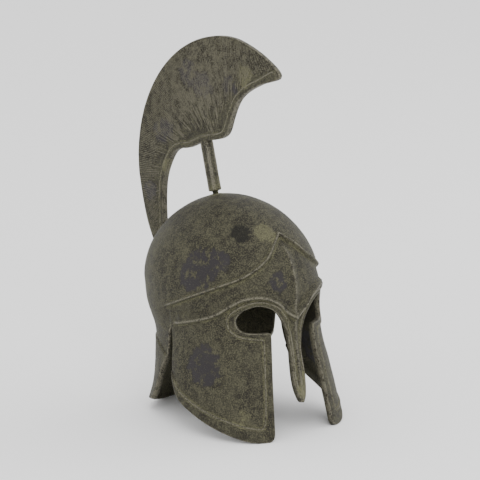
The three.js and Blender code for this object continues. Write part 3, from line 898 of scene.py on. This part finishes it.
class Paint(Tree):
    """A material under construction around its Principled shader."""

    def __init__(self, name):
        self.material = bpy.data.materials.new(name)
        self.material.use_nodes = True
        super().__init__(self.material.node_tree)
        self.shader = self.tree.nodes["Principled BSDF"]

    def set(self, **values):
        """Puts values or links on the shader's own sockets."""
        for name, value in values.items():
            self.put(self.shader.inputs[name.replace("_", " ")], value)

    def place(self):
        """The place on the piece, in mm."""
        metres = self.node("ShaderNodeTexCoord", {}, {}, "Object")
        return self.node("ShaderNodeVectorMath", {"operation": "SCALE"}, {0: metres, "Scale": 1 / MM})

    def noise(self, place, size, detail=2.0, roughness=0.5, distortion=0.0):
        """Cloudy noise whose lumps are about this many mm across."""
        inputs = {
            "Vector": place, "Scale": 1 / size, "Detail": detail,
            "Roughness": roughness, "Distortion": distortion,
        }
        return self.node("ShaderNodeTexNoise", {"noise_dimensions": "3D"}, inputs)

    def stretched(self, place, turn, scale):
        """The place turned and scaled, for streaks."""
        return self.node("ShaderNodeMapping", {}, {"Vector": place, "Rotation": turn, "Scale": scale})

    def between(self, value, low, high):
        """0 below low and 1 above high, with a soft step between."""
        inputs = {"Value": value, "From Min": low, "From Max": high}
        return self.node("ShaderNodeMapRange", {"interpolation_type": "SMOOTHSTEP"}, inputs)

    def mark(self, name):
        return self.node("ShaderNodeAttribute", {"attribute_name": name}, {}, "Fac")

    def blend(self, share, first, second):
        inputs = {0: share, 6: first, 7: second}
        return self.node("ShaderNodeMix", {"data_type": "RGBA"}, inputs, 2)

    def spots(self, place, centres, ragged):
        """1 inside ragged rounds, each given as a centre and a radius in mm."""
        inside = None
        for centre, radius in centres:
            gap = self.node("ShaderNodeVectorMath", {"operation": "DISTANCE"}, {0: place, 1: centre}, "Value")
            spot = self.between(gap + ragged * radius, 1.15 * radius, 0.8 * radius)
            inside = spot if inside is None else inside.larger(spot)
        return inside


# Finishes of the old bronze, as linear colours.
BROWN = (0.015, 0.0128, 0.0085, 1)
OLIVE = (0.030, 0.0275, 0.0175, 1)
VERDIGRIS = (0.098, 0.094, 0.058, 1)
POWDER = (0.15, 0.146, 0.075, 1)
PURPLE_GREY = (0.0235, 0.0205, 0.0225, 1)
NEAR_BLACK = (0.0035, 0.003, 0.0024, 1)
# Lighter metal: wear, and painted highlight on raised ridges and edges.
WORN_AND_HIGHLIGHT = (0.17, 0.158, 0.118, 1)
METAL_SHARE = 0.35
SHEEN = 0.3


def bronze(name, smooth_spots, dark_spots, green_spots):
    """Old bronze: brown and olive clouds, verdigris grains, bare smooth places, ridges painted lighter as
    wear and painted highlight, low places painted darker as patina and painted shade.
    """
    paint = Paint(name)
    place = paint.place()
    cloud = paint.noise(place, 34, 3, 0.55)
    drift = paint.noise(place, 9, 3, 0.6)
    grain = paint.noise(place, 1.7, 2.5, 0.65)
    specks = paint.noise(place, 0.9, 2, 0.6)
    ragged = (drift - 0.5) * 1.3 + (cloud - 0.5) * 0.5

    bare = paint.spots(place, smooth_spots, ragged) * paint.between(drift + grain * 0.3, 0.83, 0.62)
    dark = paint.spots(place, dark_spots, ragged)
    green = paint.spots(place, green_spots, ragged)
    ridge = paint.mark("ridge")
    low = paint.mark("low")

    body = paint.blend(paint.between(cloud + (drift - 0.5) * 0.7, 0.38, 0.62), BROWN, OLIVE)
    crusted = paint.between(grain + (drift - 0.5) * 0.35 + low * 0.12 + green * 0.1, 0.47, 0.60)
    crusted = crusted * (1 - bare * 0.92)
    colour = paint.blend(crusted * 0.62, body, VERDIGRIS)
    powder = paint.between(specks + low * 0.16 + green * 0.14 - bare * 0.15, 0.60, 0.70)
    colour = paint.blend(powder * 0.7, colour, POWDER)
    pits = paint.between(specks, 0.40, 0.31)
    colour = paint.blend(pits * 0.7, colour, NEAR_BLACK)
    colour = paint.blend(bare * 0.85, colour, PURPLE_GREY)
    colour = paint.blend(dark * 0.82, colour, NEAR_BLACK)
    # Low places, grooves, the inside and the post's foot painted darker: partly patina in the hollows, partly
    # painted shade.
    colour = paint.blend(low * paint.between(drift, 0.46, 0.62) * 0.75, colour, NEAR_BLACK)
    scratch = paint.noise(paint.stretched(place, (0.4, 0.3, 0.7), (0.05, 1.6, 0.9)), 1.0, 2, 0.5)
    scratch = scratch.larger(
        paint.noise(paint.stretched(place, (-0.6, 0.9, -0.3), (1.5, 0.06, 1.1)), 1.0, 2, 0.5)
    )
    scratched = paint.between(scratch, 0.67, 0.72)
    colour = paint.blend(scratched * 0.35, colour, WORN_AND_HIGHLIGHT)
    # Raised beads and edges painted lighter: partly worn metal, partly painted highlight.
    rubbed_and_highlit = ridge * paint.between(grain + drift * 0.6, 0.62, 0.86)
    colour = paint.blend(rubbed_and_highlit * 0.7, colour, WORN_AND_HIGHLIGHT)

    rough = 0.62 - bare * 0.16 - rubbed_and_highlit * 0.18 + crusted * 0.1
    height = grain * (0.30 - bare * 0.22) + crusted * 0.12 - pits * 0.18 + drift * 0.35
    bump = paint.node("ShaderNodeBump", {}, {"Strength": 0.8, "Distance": MM, "Height": height}, "Normal")
    paint.set(Base_Color=colour, Roughness=rough, Normal=bump)
    paint.set(Metallic=METAL_SHARE, Specular_IOR_Level=SHEEN)
    return paint.material

# Smooth, dark and green places as centre and radius, in mm in the frame.
aged_bronze = bronze(
    "aged_bronze",
    [((-92, -58, 205), 27), ((-80, -80, 220), 16), ((-97, -78, 90), 25), ((-24, -137, 195), 13),
     ((95, -50, 215), 30), ((70, 60, 225), 34), ((97, -70, 80), 22)],
    [((-45, -86, 252), 13), ((40, 40, 262), 12)],
    [((-18, -103, 251), 14), ((2, 4, 282), 17), ((-70, -118, 25), 20), ((10, -150, 60), 16)],
)
crest_bronze = bronze(
    "crest_bronze",
    [((-3, 57, 428), 16), ((-3, -22, 420), 13), ((-3, 109, 347), 15), ((-3, 134, 265), 12),
     ((3, 30, 415), 18), ((3, 100, 350), 16)],
    [((3, 134, 230), 8)],
    [((-3, -50, 436), 14), ((-3, 95, 300), 12)],
)

# ------------------------------------------------------------------ hair lines of the crest

HAIR_GAP = 2.7                   # between lines at the crest's outer edge
HAIR_RADIUS = 0.65
HAIR_SUNK = 0.15                 # how far a line's middle lies below the plate's face
HAIR_STEP = 3.5
HAIR_WAVER = 0.5


def inside_outline(outline, points):
    """Whether each point lies inside a closed outline, by counting crossings."""
    inside = np.zeros(len(points), bool)
    y, z = points[:, 0], points[:, 1]
    for a, b in zip(outline, np.roll(outline, -1, 0)):
        across = (a[1] > z) != (b[1] > z)
        if across.any():
            reach = a[0] + (z - a[1]) * (b[0] - a[0]) / (b[1] - a[1] + 1e-12)
            inside ^= across & (y < reach)
    return inside


def hair_guides():
    """Straight guides from the crest's outer edge inwards, as pairs of points on both faces."""
    draw = np.random.RandomState(23)
    outline = crest_outline()
    closed = np.c_[outline, np.zeros(len(outline))]
    guides = []
    for side in (-1, 1):
        angle = 122.0
        while angle > -44:
            lean = ease((-4 - angle) / 36)
            aim = CREST_CENTRE + lean * np.array([70.0, 26.0])
            way = np.array([math.cos(math.radians(angle)), math.sin(math.radians(angle))])
            edge = CREST_CENTRE + way * 190
            reach = np.arange(0, np.linalg.norm(edge - aim), 1.0)
            heading = (aim - edge) / np.linalg.norm(aim - edge)
            line = edge + reach[:, None] * heading
            free = inside_outline(outline, line)
            free &= nearest(closed, np.c_[line, np.zeros(len(line))])[1] > 1.2
            free &= crest_rim_distance(line) > CREST_RIM_WIDTH + 1.0
            angle -= math.degrees(HAIR_GAP / CREST_RADIUS) * draw.uniform(0.85, 1.15)
            if not free.any():
                continue
            first = int(np.argmax(free))
            stop = first + int(np.argmax(~free[first:])) if (~free[first:]).any() else len(free)
            length = (stop - first) * draw.uniform(0.55, 1.0)
            if length > 6:
                at = side * (CREST_HALF - HAIR_SUNK)
                start, end = line[first], line[first] + heading * length
                guides.append([(at, *end), (at, *start)])
    return guides


def hair_tree(material):
    """Geometry Nodes that turn guide edges into tapered, slightly wavering round lines."""
    group = bpy.data.node_groups.new("crest_hair", "GeometryNodeTree")
    group.interface.new_socket("Geometry", in_out="OUTPUT", socket_type="NodeSocketGeometry")
    group.interface.new_socket("Guides", in_out="INPUT", socket_type="NodeSocketGeometry")
    for name in ("Radius", "Step", "Waver", "Seed"):
        group.interface.new_socket(name, in_out="INPUT", socket_type="NodeSocketFloat")
    grow = Tree(group)
    given = group.nodes.new("NodeGroupInput")
    guides, radius, step, waver, seed = (Socket(grow, given.outputs[i]) for i in range(5))
    curve = grow.node("GeometryNodeMeshToCurve", {}, {"Mesh": guides})
    curve = grow.node(
        "GeometryNodeResampleCurve", {"mode": "LENGTH"}, {"Curve": curve, "Length": step}
    )
    drift = grow.node(
        "ShaderNodeTexNoise", {"noise_dimensions": "4D"}, {"W": seed, "Scale": 110.0, "Detail": 1.0}, 1
    )
    centred = grow.node("ShaderNodeVectorMath", {"operation": "SUBTRACT"}, {0: drift, 1: (0.5, 0.5, 0.5)})
    shift = grow.node("ShaderNodeVectorMath", {"operation": "SCALE"}, {0: centred, "Scale": waver})
    curve = grow.node("GeometryNodeSetPosition", {}, {"Geometry": curve, "Offset": shift})
    along_line = grow.node("GeometryNodeSplineParameter", {}, {}, "Factor")
    curve = grow.node(
        "GeometryNodeSetCurveRadius", {}, {"Curve": curve, "Radius": along_line * 0.6 + 0.4}
    )
    profile = grow.node("GeometryNodeCurvePrimitiveCircle", {}, {"Resolution": 6, "Radius": radius})
    line = grow.node(
        "GeometryNodeCurveToMesh", {}, {"Curve": curve, "Profile Curve": profile, "Fill Caps": True}
    )
    line = grow.node("GeometryNodeSetShadeSmooth", {}, {"Geometry": line})
    # Lines stored as ridges, so they are painted lighter as worn tops and painted highlight.
    line = grow.node(
        "GeometryNodeStoreNamedAttribute", {}, {"Geometry": line, "Name": "ridge", "Value": 0.75}
    )
    line = grow.node("GeometryNodeRealizeInstances", {}, {"Geometry": line})
    line = grow.node("GeometryNodeSetMaterial", {}, {"Geometry": line, "Material": material})
    result = group.nodes.new("NodeGroupOutput")
    grow.put(result.inputs[0], line)
    return group


def crest_hair(material):
    guides = hair_guides()
    points = np.array(guides).reshape(-1, 3) + (0, BOWL_AXIS_Y, 0)
    mesh = bpy.data.meshes.new("crest_hair_guides")
    edges = [(k, k + 1) for k in range(0, len(points), 2)]
    mesh.from_pydata((points * MM).tolist(), edges, [])
    guide = bpy.data.objects.new("crest_hair_guides", mesh)
    bpy.context.scene.collection.objects.link(guide)
    group = hair_tree(material)
    modifier = guide.modifiers.new("crest_hair", "NODES")
    modifier.node_group = group
    sizes = {
        "Radius": HAIR_RADIUS * MM, "Step": HAIR_STEP * MM, "Waver": HAIR_WAVER * MM, "Seed": 4.0,
    }
    for item in group.interface.items_tree:
        if item.name in sizes:
            modifier[item.identifier] = sizes[item.name]
    ready = guide.evaluated_get(bpy.context.evaluated_depsgraph_get())
    grown = bpy.data.meshes.new_from_object(ready)
    guide.modifiers.remove(modifier)
    bpy.data.objects.remove(guide)
    piece = bpy.data.objects.new("crest_hair", grown)
    bpy.context.scene.collection.objects.link(piece)
    return piece


# ------------------------------------------------------------------ the dressed pieces

shell = helmet_shell(aged_bronze)
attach(shell, "root")
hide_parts("helmet_shell")

crest = crest_plate(crest_bronze)
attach(crest, "root")
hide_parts("crest_plate")

hair = crest_hair(crest_bronze)
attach(hair, "root")

post = post_bar(aged_bronze)
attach(post, "root")
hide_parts("crest_post")

# ------------------------------------------------------------------ floor, light and camera


FLOOR_REACH = 6.0                # metres, as are the lamps' and the camera's places
PAPER = (0.95, 0.95, 0.95, 1)
WORLD_STRENGTH = 1.5
CAMERA_TURN, CAMERA_RISE, CAMERA_DISTANCE = 42, 13, 3.276
CAMERA_TARGET = Vector((0.0075, -0.0290, 0.2243))
LENS, SENSOR = 195, 36


def floor_and_light():
    mesh = bpy.data.meshes.new("floor")
    reach = FLOOR_REACH
    corners = [(-reach, -reach, 0), (reach, -reach, 0), (reach, reach, 0), (-reach, reach, 0)]
    mesh.from_pydata(corners, [], [(0, 1, 2, 3)])
    floor = bpy.data.objects.new("floor", mesh)
    bpy.context.scene.collection.objects.link(floor)
    paper = bpy.data.materials.new("paper")
    paper.use_nodes = True
    surface = paper.node_tree.nodes["Principled BSDF"]
    surface.inputs["Base Color"].default_value = PAPER
    surface.inputs["Roughness"].default_value = 0.9
    mesh.materials.append(paper)
    world = bpy.data.worlds.new("studio")
    world.use_nodes = True
    world.node_tree.nodes["Background"].inputs["Color"].default_value = (1, 1, 1, 1)
    world.node_tree.nodes["Background"].inputs["Strength"].default_value = WORLD_STRENGTH
    bpy.context.scene.world = world
    soft_lamp("key", Vector((-1.6, -2.2, 2.6)), 1.8, 50)
    soft_lamp("fill", Vector((2.4, -0.6, 1.4)), 1.6, 18)


def soft_lamp(name, place, size, power):
    lamp = bpy.data.lights.new(name, "AREA")
    lamp.size = size
    lamp.energy = power
    holder = bpy.data.objects.new(name, lamp)
    holder.location = place
    holder.rotation_euler = (Vector((0, 0, 0.25)) - place).to_track_quat("-Z", "Y").to_euler()
    bpy.context.scene.collection.objects.link(holder)


def camera():
    azimuth, elevation = math.radians(CAMERA_TURN), math.radians(CAMERA_RISE)
    look = Vector((
        math.sin(azimuth) * math.cos(elevation),
        math.cos(azimuth) * math.cos(elevation),
        -math.sin(elevation),
    ))
    lens = bpy.data.cameras.new("camera")
    lens.lens = LENS
    lens.sensor_width = SENSOR
    holder = bpy.data.objects.new("camera", lens)
    holder.location = CAMERA_TARGET - look * CAMERA_DISTANCE
    holder.rotation_euler = look.to_track_quat("-Z", "Y").to_euler()
    bpy.context.scene.collection.objects.link(holder)
    bpy.context.scene.camera = holder


floor_and_light()
camera()
